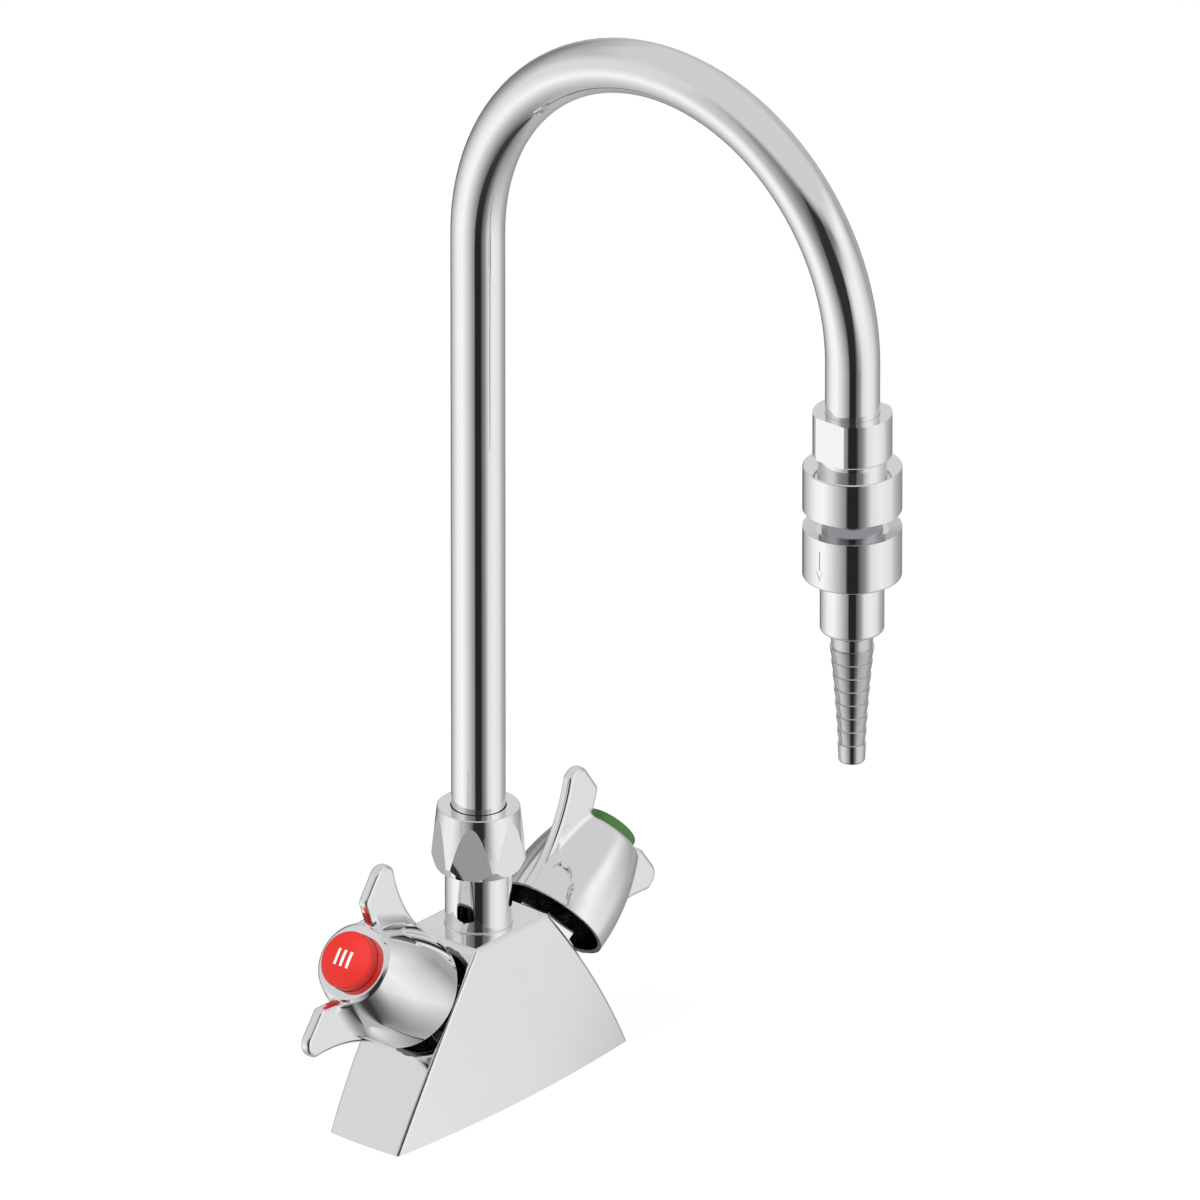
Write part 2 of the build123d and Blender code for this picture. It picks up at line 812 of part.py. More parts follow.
def breaker_poppet():
    head_low = poppet_top() - poppet_head_height
    solid = rod(poppet_head_radius, head_low, poppet_top())
    return solid + rod(poppet_stem_radius, spring_seat - poppet_stem_reach, head_low)


def breaker_diaphragm():
    outer = core_bore_radius - fit_play
    return washer(outer, diaphragm_inner_radius, diaphragm_top - diaphragm_height, diaphragm_height)


def breaker_spring():
    low = spring_seat + spring_wire / 2
    high = poppet_top() - poppet_head_height - spring_wire / 2
    coil = Pos(0, 0, low) * Helix((high - low) / spring_turns, high - low, spring_radius)
    section = Plane(origin=coil @ 0, z_dir=coil % 0) * Circle(spring_wire / 2)
    return sweep(section, path=coil, is_frenet=True)


# Hose nozzle

def barb_width(first, last, share):
    """A radius between the first and the last one, drawn in a little halfway."""
    return first + share * (last - first) - 4 * barb_bow * share * (1 - share)


def barb_points():
    """Outline of the barbs: each cone narrows downward and the next one starts with a ledge."""
    pitch = (barb_top - barb_bottom) / (barb_count - 1)
    points = []
    for index in range(barb_count):
        ledge = barb_width(barb_first_radius, barb_last_radius, index / (barb_count - 1))
        points.append((ledge, barb_top - index * pitch))
        if index < barb_count - 1:
            root = barb_width(barb_first_root, barb_last_root, index / (barb_count - 2))
            points.append((root, barb_top - (index + 1) * pitch))
    return points


def nozzle_washer():
    low = tail_bottom - nozzle_washer_height
    return washer(nozzle_washer_radius, nozzle_shank_radius + fit_play, low, nozzle_washer_height)


def hose_nozzle():
    top = tail_bottom - nozzle_washer_height
    outside = [(0, top), (nozzle_collar_radius, top), (nozzle_collar_foot, barb_top)] + barb_points()
    solid = turned(outside + [(tip_radius, nozzle_tip), (0, nozzle_tip)])
    solid = round_rim(solid, tip_radius, nozzle_tip, tip_round)
    shank_top = tail_bottom + nozzle_shank_length - face_gap
    solid += rod(nozzle_shank_radius, top, shank_top)
    return solid - rod(nozzle_bore_radius, nozzle_tip - overrun, shank_top + overrun)


# Export

valve_parts = {
    "bonnet": bonnet,
    "cartridge_body": cartridge_body,
    "cartridge_o_ring": barrel_o_ring,
    "fixed_disc": fixed_disc,
    "seat_seal": seat_seal,
    "stem": cartridge_stem,
    "stem_clip": stem_clip,
    "stem_o_ring": stem_o_ring,
    "moving_disc": moving_disc,
    "handle": handle,
    "wing_marks": wing_marks,
    "index_cap": index_cap,
    "handle_screw": handle_screw,
}

centre_parts = {
    "body_casting": body_casting,
    "base_gasket": base_gasket,
    "spout_post": spout_post,
    "post_o_ring": post_o_ring,
    "swivel_collar": swivel_collar,
    "swivel_o_rings": swivel_o_rings,
    "thrust_washer": thrust_washer,
    "coupling_nut": coupling_nut,
    "gooseneck_tube": gooseneck_tube,
}

outlet_parts = {
    "breaker_inlet_adapter": breaker_inlet_adapter,
    "breaker_canopy": breaker_canopy,
    "breaker_core": breaker_core,
    "breaker_body": breaker_body,
    "breaker_outlet": breaker_outlet,
    "breaker_seat_ring": breaker_seat_ring,
    "breaker_poppet": breaker_poppet,
    "breaker_diaphragm": breaker_diaphragm,
    "breaker_spring": breaker_spring,
    "nozzle_washer": nozzle_washer,
    "hose_nozzle": hose_nozzle,
}


def save(solid, name):
    export_step(solid, os.path.join("parts", name + ".step"))
    print(name, round(solid.volume, 1))


def main():
    os.makedirs("parts", exist_ok=True)
    for name, make in centre_parts.items():
        save(make(), name)
    for name, make in outlet_parts.items():
        save(Pos(0, -spout_reach, 0) * make(), name)
    for name, make in valve_parts.items():
        solid = make()
        save(valve_plane(-1) * solid, "hot_" + name)
        save(valve_plane(1) * solid, "cold_" + name)


main()
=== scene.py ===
# %% [markdown]
# # A laboratory gooseneck tap
# The tap is a low chromed body with two slanted valves, a tall swinging gooseneck and, at its end,
# a vacuum breaker with a serrated hose nozzle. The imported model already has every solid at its
# place, so this scene loads it, dresses it, and models again only what needs softer edges.

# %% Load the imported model
import bpy
import json
import math
import numpy
from mathutils import Matrix, Vector


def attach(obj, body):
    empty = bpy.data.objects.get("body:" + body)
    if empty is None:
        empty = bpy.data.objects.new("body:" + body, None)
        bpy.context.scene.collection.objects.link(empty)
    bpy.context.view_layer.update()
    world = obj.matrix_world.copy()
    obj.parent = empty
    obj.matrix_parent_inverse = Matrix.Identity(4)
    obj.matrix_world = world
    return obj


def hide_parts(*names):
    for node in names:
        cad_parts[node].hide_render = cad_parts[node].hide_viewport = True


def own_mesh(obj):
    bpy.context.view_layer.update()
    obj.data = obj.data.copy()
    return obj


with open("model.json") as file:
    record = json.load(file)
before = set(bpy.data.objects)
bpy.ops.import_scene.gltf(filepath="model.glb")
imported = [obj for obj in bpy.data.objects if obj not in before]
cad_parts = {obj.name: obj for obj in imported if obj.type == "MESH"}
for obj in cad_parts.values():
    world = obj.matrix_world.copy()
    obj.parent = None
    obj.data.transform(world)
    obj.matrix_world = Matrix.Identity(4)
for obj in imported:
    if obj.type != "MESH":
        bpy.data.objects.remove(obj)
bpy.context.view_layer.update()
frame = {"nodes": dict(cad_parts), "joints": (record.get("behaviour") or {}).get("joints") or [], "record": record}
nodes = frame["nodes"]
millimetre = 0.001

# %% [markdown]
# ## Where the handles turn
# Each handle turns on an axis that slants up and out of the body. The joints of the frame say where
# these axes are, so a change in the solids moves the scene's own handles too. A handle is modelled
# once, upright about Z, and a matrix then leans each copy over onto its own axis.

# %% Handle axes from the frame
joints = {joint["name"]: joint for joint in frame["joints"]}
sides = ("hot", "cold")


def handle_axis(side):
    """The point where a handle's axis leaves the body, and its direction outward."""
    joint = joints[side + "_handle_turn"]
    origin = Vector(joint["pos_m"])
    along = Vector(joint["axis"]).normalized()
    return origin, along if along.z > 0 else -along


def handle_frame(side):
    """Matrix from a handle's own frame, with Z out along its axis and X up the slope."""
    origin, out = handle_axis(side)
    across = Vector((0, 1, 0)) if side == "hot" else Vector((0, -1, 0))
    up = across.cross(out)
    columns = Matrix((up, across, out)).transposed().to_4x4()
    return Matrix.Translation(origin) @ columns


for side in sides:
    print(side, "axis", [round(v, 4) for v in handle_axis(side)[1]])

# %% [markdown]
# ## Finishes
# Every finish is a node material on Object coordinates. A fine noise varies the gloss, as wiping
# does, and where it is stretched it draws faint polishing marks. The same noise feeds a weak
# bump, which keeps big faces from being perfect mirrors. A picture of scratches could do this too,
# but a noise needs no file and never repeats. The amounts stay small, because chrome shows even a
# slight dent.

# %% Helpers for node materials
def new_material(name):
    material = bpy.data.materials.new(name)
    material.use_nodes = True
    tree = material.node_tree
    return material, tree, tree.nodes["Principled BSDF"]


def add_node(tree, kind, **settings):
    node = tree.nodes.new(kind)
    for key, value in settings.items():
        setattr(node, key, value)
    return node


def object_noise(tree, scale, detail=3.0, stretch=(1, 1, 1)):
    """A noise on Object coordinates, stretched along an axis for polishing marks."""
    place = add_node(tree, "ShaderNodeTexCoord")
    mapping = add_node(tree, "ShaderNodeMapping")
    mapping.inputs["Scale"].default_value = stretch
    noise = add_node(tree, "ShaderNodeTexNoise")
    noise.inputs["Scale"].default_value = scale
    noise.inputs["Detail"].default_value = detail
    tree.links.new(place.outputs["Object"], mapping.inputs["Vector"])
    tree.links.new(mapping.outputs["Vector"], noise.inputs["Vector"])
    return noise.outputs["Fac"]


def spread(tree, value, low, high, from_low=0.3, from_high=0.7):
    """A value laid over a new range. The old one is 0.3 to 0.7, which a noise seldom leaves."""
    ranged = add_node(tree, "ShaderNodeMapRange")
    ranged.inputs["From Min"].default_value = from_low
    ranged.inputs["From Max"].default_value = from_high
    ranged.inputs["To Min"].default_value = low
    ranged.inputs["To Max"].default_value = high
    tree.links.new(value, ranged.inputs["Value"])
    return ranged.outputs["Result"]


def mix_colours(tree, share, first, second):
    """A colour between two, each a plain colour or another node's output."""
    mix = add_node(tree, "ShaderNodeMix", data_type="RGBA")
    tree.links.new(share, mix.inputs["Factor"])
    for socket, colour in (("A", first), ("B", second)):
        if isinstance(colour, tuple):
            mix.inputs[socket].default_value = (*colour, 1)
        else:
            tree.links.new(colour, mix.inputs[socket])
    return mix.outputs["Result"]


def add_bump(tree, shader, value, strength, distance):
    bump = add_node(tree, "ShaderNodeBump")
    bump.inputs["Strength"].default_value = strength
    bump.inputs["Distance"].default_value = distance
    tree.links.new(value, bump.inputs["Height"])
    tree.links.new(bump.outputs["Normal"], shader.inputs["Normal"])


# %% [markdown]
# A finish is a metal or not, has two near shades that a soft noise mixes, a span of roughness and
# a bump. One function makes them all, so that each finish is only a few plain numbers.

# %% One function for all finishes
cloud_scale = 60.0
bump_depth = 0.02 * millimetre


def finish(name, shades, roughness, metallic=0.0, marks=(1, 1, 1), mark_scale=900.0, bump=0.05):
    material, tree, shader = new_material(name)
    shader.inputs["Metallic"].default_value = metallic
    cloud = object_noise(tree, cloud_scale, detail=2.0)
    fine = object_noise(tree, mark_scale, detail=4.0, stretch=marks)
    tree.links.new(mix_colours(tree, cloud, *shades), shader.inputs["Base Color"])
    tree.links.new(spread(tree, fine, *roughness), shader.inputs["Roughness"])
    add_bump(tree, shader, fine, bump, bump_depth)
    return material


def metal(name, shades, roughness, **settings):
    return finish(name, shades, roughness, metallic=1.0, **settings)


# %% [markdown]
# The outside is polished chrome over brass. The nozzle's ridges are turned and plated without a
# last polish, so they are a little rougher, and their darker colour is painted shade of the ridges.
# Inside a handle the casting keeps its unpolished skin, and its dark colour is partly painted shade
# of the hollow. The valve stems and the breaker's core have a satin plating. Plain brass, spring
# steel, ceramic, rubber and plastic make up the rest.

# %% Metals
chrome = metal("polished chrome", ((0.90, 0.905, 0.915), (0.93, 0.935, 0.94)), (0.035, 0.06),
               marks=(1, 1, 0.15), bump=0.03)
core_metal = metal("satin plated core", ((0.42, 0.43, 0.44), (0.48, 0.48, 0.49)), (0.10, 0.16),
                   marks=(1, 1, 6))
# The hollow's finish is dark partly as the casting's unpolished skin and partly as painted shade inside the
# hollow.
cast_skin_painted_shade = metal("cast skin with painted shade", ((0.22, 0.22, 0.225), (0.26, 0.26, 0.265)), (0.16, 0.22),
                    mark_scale=300.0, bump=0.02)
# The nozzle's chrome is a little rougher than the polished chrome, and its darker shades are painted shade of the
# ridges.
nozzle_chrome_painted_shade = metal("nozzle chrome with painted shade", ((0.68, 0.685, 0.695), (0.74, 0.745, 0.755)), (0.05, 0.08),
                     marks=(1, 1, 8), bump=0.04)
brass = metal("machined brass", ((0.74, 0.56, 0.27), (0.80, 0.63, 0.34)), (0.18, 0.34),
              marks=(1, 1, 8))
steel = metal("spring steel", ((0.56, 0.56, 0.57), (0.66, 0.66, 0.67)), (0.22, 0.36),
              marks=(1, 8, 1))
print("metals:", chrome.name, core_metal.name, cast_skin_painted_shade.name, nozzle_chrome_painted_shade.name)

# %% Ceramic, plastics, rubber and enamels
ceramic = finish("white ceramic", ((0.86, 0.85, 0.81), (0.90, 0.89, 0.86)), (0.10, 0.22))
plastic = finish("white plastic", ((0.80, 0.80, 0.77), (0.85, 0.85, 0.82)), (0.35, 0.5))
rubber = finish("black rubber", ((0.018, 0.018, 0.02), (0.035, 0.035, 0.037)), (0.55, 0.75),
                bump=0.3)
red = finish("red plastic", ((0.71, 0.018, 0.012), (0.74, 0.021, 0.014)), (0.38, 0.44), bump=0.02)
green = finish("green plastic", ((0.066, 0.19, 0.038), (0.072, 0.205, 0.043)), (0.38, 0.44),
               bump=0.02)
dark_red = finish("red enamel", ((0.40, 0.012, 0.012), (0.46, 0.016, 0.016)), (0.35, 0.45),
                  bump=0.02)
dark_green = finish("green enamel", ((0.030, 0.10, 0.02), (0.038, 0.12, 0.028)), (0.35, 0.45),
                    bump=0.02)
bar_white = finish("white print", ((0.86, 0.86, 0.85), (0.90, 0.90, 0.89)), (0.3, 0.42))
print("materials so far:", len(bpy.data.materials))

# %% [markdown]
# ## The solids
# The record gives every solid a material slot, and each slot has one finish. The hose nozzle shares
# its slot with the polished pieces, and gets afterwards its own chrome, a little rougher and with a
# darker colour that is painted shade of its ridges.

# %% Dress the solids
slot_finishes = {
    "bright_chrome": chrome,
    "core_plating": core_metal,
    "bare_brass": brass,
    "spring_steel": steel,
    "white_ceramic": ceramic,
    "white_plastic": plastic,
    "black_rubber": rubber,
    "hot_red": red,
    "cold_green": green,
}
slot_of = {part["node"]: part["material_slot"] for part in frame["record"]["subparts"]}


def dress(piece, material):
    piece.data.materials.clear()
    piece.data.materials.append(material)


for name, node in nodes.items():
    dress(node, slot_finishes[slot_of[name]])
# The nozzle gets its rougher chrome, whose darker colour is painted shade.
dress(nodes["hose_nozzle"], nozzle_chrome_painted_shade)
print("dressed:", len(nodes))

# %% [markdown]
# The breaker's return spring stands on its guide, and the poppet pushes it down. A rigid spring
# would then stick through the poppet. Here the spring only gets a mesh of its own, and nothing
# squashes it.

# %% The spring's own mesh
spring = nodes["breaker_spring"]
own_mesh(spring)

# %% [markdown]
# ## Handles
# A cast handle has no sharp edges: the wings are rounded all round and run into the bell with a
# soft hollow. The solids keep crisp edges there, and a bevel would tear where the wings' curved
# edges cross the bell, so the handle is modelled again as a rounded form. The form is a rule that
# gives, for any point, how far it is outside the metal. A bell and two slabs are remeshed into one
# skin, and the skin is laid on the form by moving each point along the rule's slope until the rule
# gives nought. Then a turned tool cuts the hollow, and its rim stays crisp.
#
# An outline lists corners, each a place and a rounding. An arc runs from the corner before it to
# the corner after it, through its own place, in a number of steps.

# %% Outlines of the handle, in millimetres in the handle's own frame
bell_outline = (
    ((0.0, 3.0), 0.0), ((18.9, 3.0), 0.0), ((18.7, 6.8), 0.0), ("arc", (17.2, 25.5), 60),
    ((13.2, 38.4), 0.8), ((12.1, 39.4), 0.5), ((9.5, 39.3), 0.0), ((0.0, 39.3), 0.0),
)
hollow_outline = (
    ((0.0, 0.0), 0.0), ((26.0, 0.0), 0.0), ((26.0, 6.8), 0.0), ((17.2, 6.8), 0.3),
    ("arc", (15.7, 25.5), 24), ((11.7, 31.8), 0.8), ((7.0, 31.8), 0.8), ((7.0, 19.0), 0.4),
    ((4.15, 19.0), 0.0), ((4.15, 31.8), 0.0), ((2.05, 31.8), 0.0), ((2.05, 34.5), 0.0),
    ((9.55, 34.5), 0.3), ((9.55, 50.0), 0.0), ((0.0, 50.0), 0.0),
)
wing_outline = (
    ((9.0, 34.0), 0.0), ((12.0, 38.0), 0.0), ((17.8, 46.8), 2.6), ((32.4, 47.0), 4.6),
    ((32.4, 40.3), 2.2), ("arc", (22.4, 24.1), 18), ((18.95, 6.7), 0.0), ((18.9, 3.0), 0.0),
    ((9.0, 3.0), 0.0),
)
print("corners:", len(bell_outline), len(hollow_outline), len(wing_outline))


# %% Trace an outline
def arc_through(start, middle, end, count):
    """Points of the circle through three points, both ends left out."""
    (ax, ay), (bx, by), (cx, cy) = start, middle, end
    cross = 2 * (ax * (by - cy) + bx * (cy - ay) + cx * (ay - by))
    squares = (ax * ax + ay * ay, bx * bx + by * by, cx * cx + cy * cy)
    hub_x = (squares[0] * (by - cy) + squares[1] * (cy - ay) + squares[2] * (ay - by)) / cross
    hub_y = (squares[0] * (cx - bx) + squares[1] * (ax - cx) + squares[2] * (bx - ax)) / cross
    radius = math.hypot(ax - hub_x, ay - hub_y)
    first = math.atan2(ay - hub_y, ax - hub_x)
    turn = math.atan2(cy - hub_y, cx - hub_x) - first
    turn = (turn + math.pi) % (2 * math.pi) - math.pi
    angles = [first + turn * index / count for index in range(1, count)]
    return [(hub_x + radius * math.cos(angle), hub_y + radius * math.sin(angle))
            for angle in angles]


def rounded_corner(before, corner, after, radius, count=8):
    """Points that replace a corner by a circle of a given radius."""
    corner = Vector(corner)
    to_before = (Vector(before) - corner).normalized()
    to_after = (Vector(after) - corner).normalized()
    half = to_before.angle(to_after) / 2
    reach = radius / math.tan(half)
    middle = corner + (to_before + to_after).normalized() * radius / math.sin(half)
    start = corner + to_before * reach - middle
    end = corner + to_after * reach - middle
    turn = start.angle_signed(end)
    points = []
    for index in range(count + 1):
        angle = -turn * index / count
        cos, sin = math.cos(angle), math.sin(angle)
        points.append((middle.x + cos * start.x - sin * start.y,
                       middle.y + sin * start.x + cos * start.y))
    return points


def trace(outline):
    """All points of an outline of rounded corners and arcs."""
    plain = []
    for index, entry in enumerate(outline):
        if entry[0] == "arc":
            start, end = outline[index - 1][0], outline[index + 1][0]
            plain += [(point, 0.0) for point in arc_through(start, entry[1], end, entry[2])]
        else:
            plain.append(entry)
    points = []
    for index, (corner, radius) in enumerate(plain):
        if radius:
            before, after = plain[index - 1][0], plain[(index + 1) % len(plain)][0]
            points += rounded_corner(before, corner, after, radius)
        else:
            points.append(corner)
    return numpy.array(points)


bell, hollow, wing = trace(bell_outline), trace(hollow_outline), trace(wing_outline)
print("points:", len(bell), len(hollow), len(wing))

# %% [markdown]
# The rules below work on arrays of points, because a form has to be asked many times. A union with
# a radius fills the corner between two forms with a hollow curve.

# %% How far a point is outside a form
def outline_distance(points, outline):
    """Distance in a plane from points to a closed outline, negative inside."""
    nearest = numpy.full(len(points), numpy.inf)
    inside = numpy.zeros(len(points), bool)
    for start, end in zip(outline, numpy.roll(outline, -1, axis=0)):
        edge = end - start
        away = points - start
        share = numpy.clip(away @ edge / (edge @ edge), 0, 1)
        gap = away - share[:, None] * edge
        nearest = numpy.minimum(nearest, (gap * gap).sum(axis=1))
        if edge[1]:
            beside = (start[1] > points[:, 1]) != (end[1] > points[:, 1])
            inside ^= beside & (points[:, 0] < start[0] + away[:, 1] * edge[0] / edge[1])
    return numpy.where(inside, -1, 1) * numpy.sqrt(nearest)


def joined(first, second, radius):
    """Union of two forms with a hollow curve of a given radius in the corner between them."""
    near = numpy.hypot(numpy.maximum(radius - first, 0), numpy.maximum(radius - second, 0))
    return numpy.maximum(radius, numpy.minimum(first, second)) - near


def rounded_slab(flat, across, half_thickness, radius):
    """An outline with a thickness, whose edges are rounded."""
    beyond = across - half_thickness + radius
    within = flat + radius
    outside = numpy.hypot(numpy.maximum(beyond, 0), numpy.maximum(within, 0))
    return numpy.minimum(numpy.maximum(beyond, within), 0) + outside - radius


def around_axis(points):
    """Points as distance from the axis and height."""
    return numpy.stack((numpy.hypot(points[:, 0], points[:, 1]), points[:, 2]), axis=1)


# %% [markdown]
# A wing meets the bell with a wide hollow on its two broad sides and a tight one at its edges. The
# hollow's radius changes softly from the one to the other, or the meeting would show a crease.

# %% The rule of the handle
wing_half_thickness = 1.9
wing_edge_round = 1.3
side_flare = 4.2
edge_flare = 0.9
flare_change = 3.0


def handle_form(points):
    """Distance in millimetres of points from the handle's surface, negative inside the metal."""
    reach = numpy.stack((numpy.abs(points[:, 0]), points[:, 2]), axis=1)
    across = numpy.abs(points[:, 1])
    body = outline_distance(around_axis(points), bell)
    flat = outline_distance(reach, wing)
    plate = rounded_slab(flat, across, wing_half_thickness, wing_edge_round)
    on_side = numpy.clip((across - wing_half_thickness - flat) / flare_change, 0, 1)
    on_side = on_side * on_side * (3 - 2 * on_side)
    return joined(body, plate, edge_flare + (side_flare - edge_flare) * on_side)


def laid_on_form(points, form, rounds=6, step=0.01, least_slope=0.25, longest_move=0.4):
    """Points moved along the slope of a form until they lie on its surface."""
    for _ in range(rounds):
        value = form(points)
        slope = numpy.empty_like(points)
        for axis in range(3):
            moved = points.copy()
            moved[:, axis] += step
            slope[:, axis] = (form(moved) - value) / step
        size = numpy.maximum((slope * slope).sum(axis=1), least_slope)
        move = slope * (value / size)[:, None]
        length = numpy.maximum(numpy.linalg.norm(move, axis=1), 1e-9)
        move *= numpy.minimum(1.0, longest_move / length)[:, None]
        points = points - move
    return points


# %% [markdown]
# Patterns for the form are made from the same outlines: one turned about the axis, and slabs for
# the wings. They only have to be near, since their skin is laid on the form afterwards.

# %% Helpers for whole meshes
weld_distance = 0.01 * millimetre


def only(piece):
    """Select one piece alone."""
    bpy.ops.object.select_all(action="DESELECT")
    piece.select_set(True)
    bpy.context.view_layer.objects.active = piece


def apply_modifier(piece, kind, **settings):
    only(piece)
    modifier = piece.modifiers.new(kind.lower(), kind)
    for key, value in settings.items():
        setattr(modifier, key, value)
    bpy.ops.object.modifier_apply(modifier=modifier.name)


def shade_smooth(piece, degrees):
    """Smooth shading, except over edges that turn by more than some degrees."""
    only(piece)
    bpy.ops.object.shade_smooth_by_angle(angle=math.radians(degrees))


def add_object(name, data):
    thing = bpy.data.objects.new(name, data)
    bpy.context.scene.collection.objects.link(thing)
    return thing


# %% Patterns from outlines
def new_piece(name, points, faces):
    """A piece from points in millimetres."""
    mesh = bpy.data.meshes.new(name)
    mesh.from_pydata([Vector(point) * millimetre for point in points], [], faces)
    piece = add_object(name, mesh)
    only(piece)
    bpy.ops.object.mode_set(mode="EDIT")
    bpy.ops.mesh.select_all(action="SELECT")
    bpy.ops.mesh.remove_doubles(threshold=weld_distance)
    bpy.ops.mesh.normals_make_consistent(inside=False)
    bpy.ops.object.mode_set(mode="OBJECT")
    return piece


def turned(name, outline, steps=144):
    """A closed outline from axis to axis, turned about Z."""
    count = len(outline)
    points = []
    for step in range(steps):
        angle = 2 * math.pi * step / steps
        points += [(r * math.cos(angle), r * math.sin(angle), z) for r, z in outline]
    faces = []
    for step in range(steps):
        here, there = step * count, (step + 1) % steps * count
        faces += [(here + k, there + k, there + k + 1, here + k + 1) for k in range(count - 1)]
    return new_piece(name, points, faces)


def slab(name, outline, half_thickness, side):
    """An outline in the XZ plane with a thickness, on one side of the axis."""
    count = len(outline)
    points = [(side * x, -half_thickness, z) for x, z in outline]
    points += [(side * x, half_thickness, z) for x, z in outline]
    faces = [tuple(range(count)), tuple(range(2 * count - 1, count - 1, -1))]
    faces += [(k, k + count, (k + 1) % count + count, (k + 1) % count) for k in range(count)]
    return new_piece(name, points, faces)


def lay(piece, form):
    """Lay the vertices of a piece on a form whose rule counts in millimetres."""
    places = numpy.empty(len(piece.data.vertices) * 3)
    piece.data.vertices.foreach_get("co", places)
    points = laid_on_form(places.reshape(-1, 3) / millimetre, form) * millimetre
    piece.data.vertices.foreach_set("co", points.ravel())
    piece.data.update()


# %% [markdown]
# Each wing has a strip of coloured enamel let into its inner edge. A box around the strip's place
# does both jobs: what it shares with the metal becomes the strip, which sinks a little, and what it
# takes from the metal becomes the pocket. So the strip keeps the rounded shape of the edge. The box
# leans as the wing's inner edge does, from its foot to its shoulder.

# %% Enamel strips and their pockets
mark_size = (1.0, 2.9, 4.4)
mark_middle = (14.4, 41.65)
mark_sink = 0.2
wing_foot, wing_shoulder = wing_outline[1][0], wing_outline[2][0]
wing_lean = math.atan2(wing_shoulder[0] - wing_foot[0], wing_shoulder[1] - wing_foot[1])
print("wing lean", round(math.degrees(wing_lean), 1), "degrees")


def mark_boxes():
    """One box for each wing's strip, joined as one tool."""
    boxes = []
    for side in (-1, 1):
        bpy.ops.object.select_all(action="DESELECT")
        place = (side * mark_middle[0] * millimetre, 0, mark_middle[1] * millimetre)
        bpy.ops.mesh.primitive_cube_add(size=1, location=place, rotation=(0, side * wing_lean, 0),
                                        scale=[value * millimetre for value in mark_size])
        boxes.append(bpy.context.active_object)
    only(boxes[0])
    boxes[1].select_set(True)
    bpy.ops.object.join()
    bpy.ops.object.transform_apply()
    return boxes[0]


def enamel_strips(whole, boxes):
    """What the boxes share with the whole metal, sunk along the edge's slope."""
    piece = add_object("strip pattern", whole.data.copy())
    apply_modifier(piece, "BOOLEAN", operation="INTERSECT", object=boxes, solver="EXACT")
    for point in piece.data.vertices:
        side = math.copysign(1.0, point.co.x)
        point.co.x += side * math.cos(wing_lean) * mark_sink * millimetre
        point.co.z -= math.sin(wing_lean) * mark_sink * millimetre
    shade_smooth(piece, 35)
    print("strip faces:", len(piece.data.polygons))
    return piece


# %% [markdown]
# The handle is made once. Smoothing between two rounds of laying takes out the steps that the
# voxels leave. The strips are taken off before the pockets and the hollow are cut.

# %% One rounded handle
def rounded_handle(voxel=0.36):
    piece = turned("handle pattern", bell)
    wings = [slab("wing pattern", wing, wing_half_thickness, side) for side in (-1, 1)]
    only(piece)
    for other in wings:
        other.select_set(True)
    bpy.ops.object.join()
    apply_modifier(piece, "REMESH", mode="VOXEL", voxel_size=voxel * millimetre)
    lay(piece, handle_form)
    apply_modifier(piece, "SMOOTH", factor=0.5, iterations=4)
    lay(piece, handle_form)
    boxes = mark_boxes()
    strips = enamel_strips(piece, boxes)
    for tool in (boxes, turned("hollow tool", hollow)):
        apply_modifier(piece, "BOOLEAN", operation="DIFFERENCE", object=tool, solver="EXACT")
        bpy.data.objects.remove(tool)
    shade_smooth(piece, 35)
    print("handle faces:", len(piece.data.polygons))
    return piece, strips


handle_pattern, strip_pattern = rounded_handle()

# %% [markdown]
# A copy for each side goes to its place and rides its valve. The handle's outside is chrome. The
# faces that lie on the hollow's outline, below the seat of the cap, get the dark cast finish, whose
# darkness is partly the casting's unpolished skin and partly painted shade of the hollow.

# %% Place the handles and their strips
near_outline = 0.02
below_cap_seat = 34.0


def face_middles(piece):
    middles = numpy.empty(len(piece.data.polygons) * 3)
    piece.data.polygons.foreach_get("center", middles)
    return middles.reshape(-1, 3) / millimetre


def dress_inside(piece, middles, material):
    """A second finish for the faces that the hollow tool left."""
    inside = numpy.abs(outline_distance(around_axis(middles), hollow)) < near_outline
    inside &= middles[:, 2] < below_cap_seat
    piece.data.materials.append(material)
    piece.data.polygons.foreach_set("material_index", inside.astype(int))
    print(piece.name, "faces inside:", inside.sum())


def place_on_handles(pattern, name, finishes, chosen=sides):
    """Copies of a pattern made in the handle's own frame, on the chosen sides."""
    placed = {}
    for side in chosen:
        mesh = pattern.data.copy()
        mesh.transform(handle_frame(side))
        piece = add_object(side + name, mesh)
        dress(piece, finishes[side])
        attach(piece, side + "_valve")
        placed[side] = piece
    bpy.data.objects.remove(pattern)
    return placed


both_chrome = {side: chrome for side in sides}
enamels = {"hot": dark_red, "cold": dark_green}
middles = face_middles(handle_pattern)
handles = place_on_handles(handle_pattern, "_rounded_handle", both_chrome)
# The hollow's faces get the dark cast finish, which is partly painted shade.
for side, piece in handles.items():
    dress_inside(piece, middles, cast_skin_painted_shade)
    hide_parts(side + "_handle")
strips = place_on_handles(strip_pattern, "_enamel_strips", enamels)
for side, piece in strips.items():
    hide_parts(side + "_wing_marks")

# %% [markdown]
# ## Index caps
# A moulded cap has a wide soft edge and a low crown. The solid's edge could be bevelled, but a
# turned outline gives the edge and the crown in one. The crown is part of a sphere, and the
# outline goes through a few heights of that sphere.

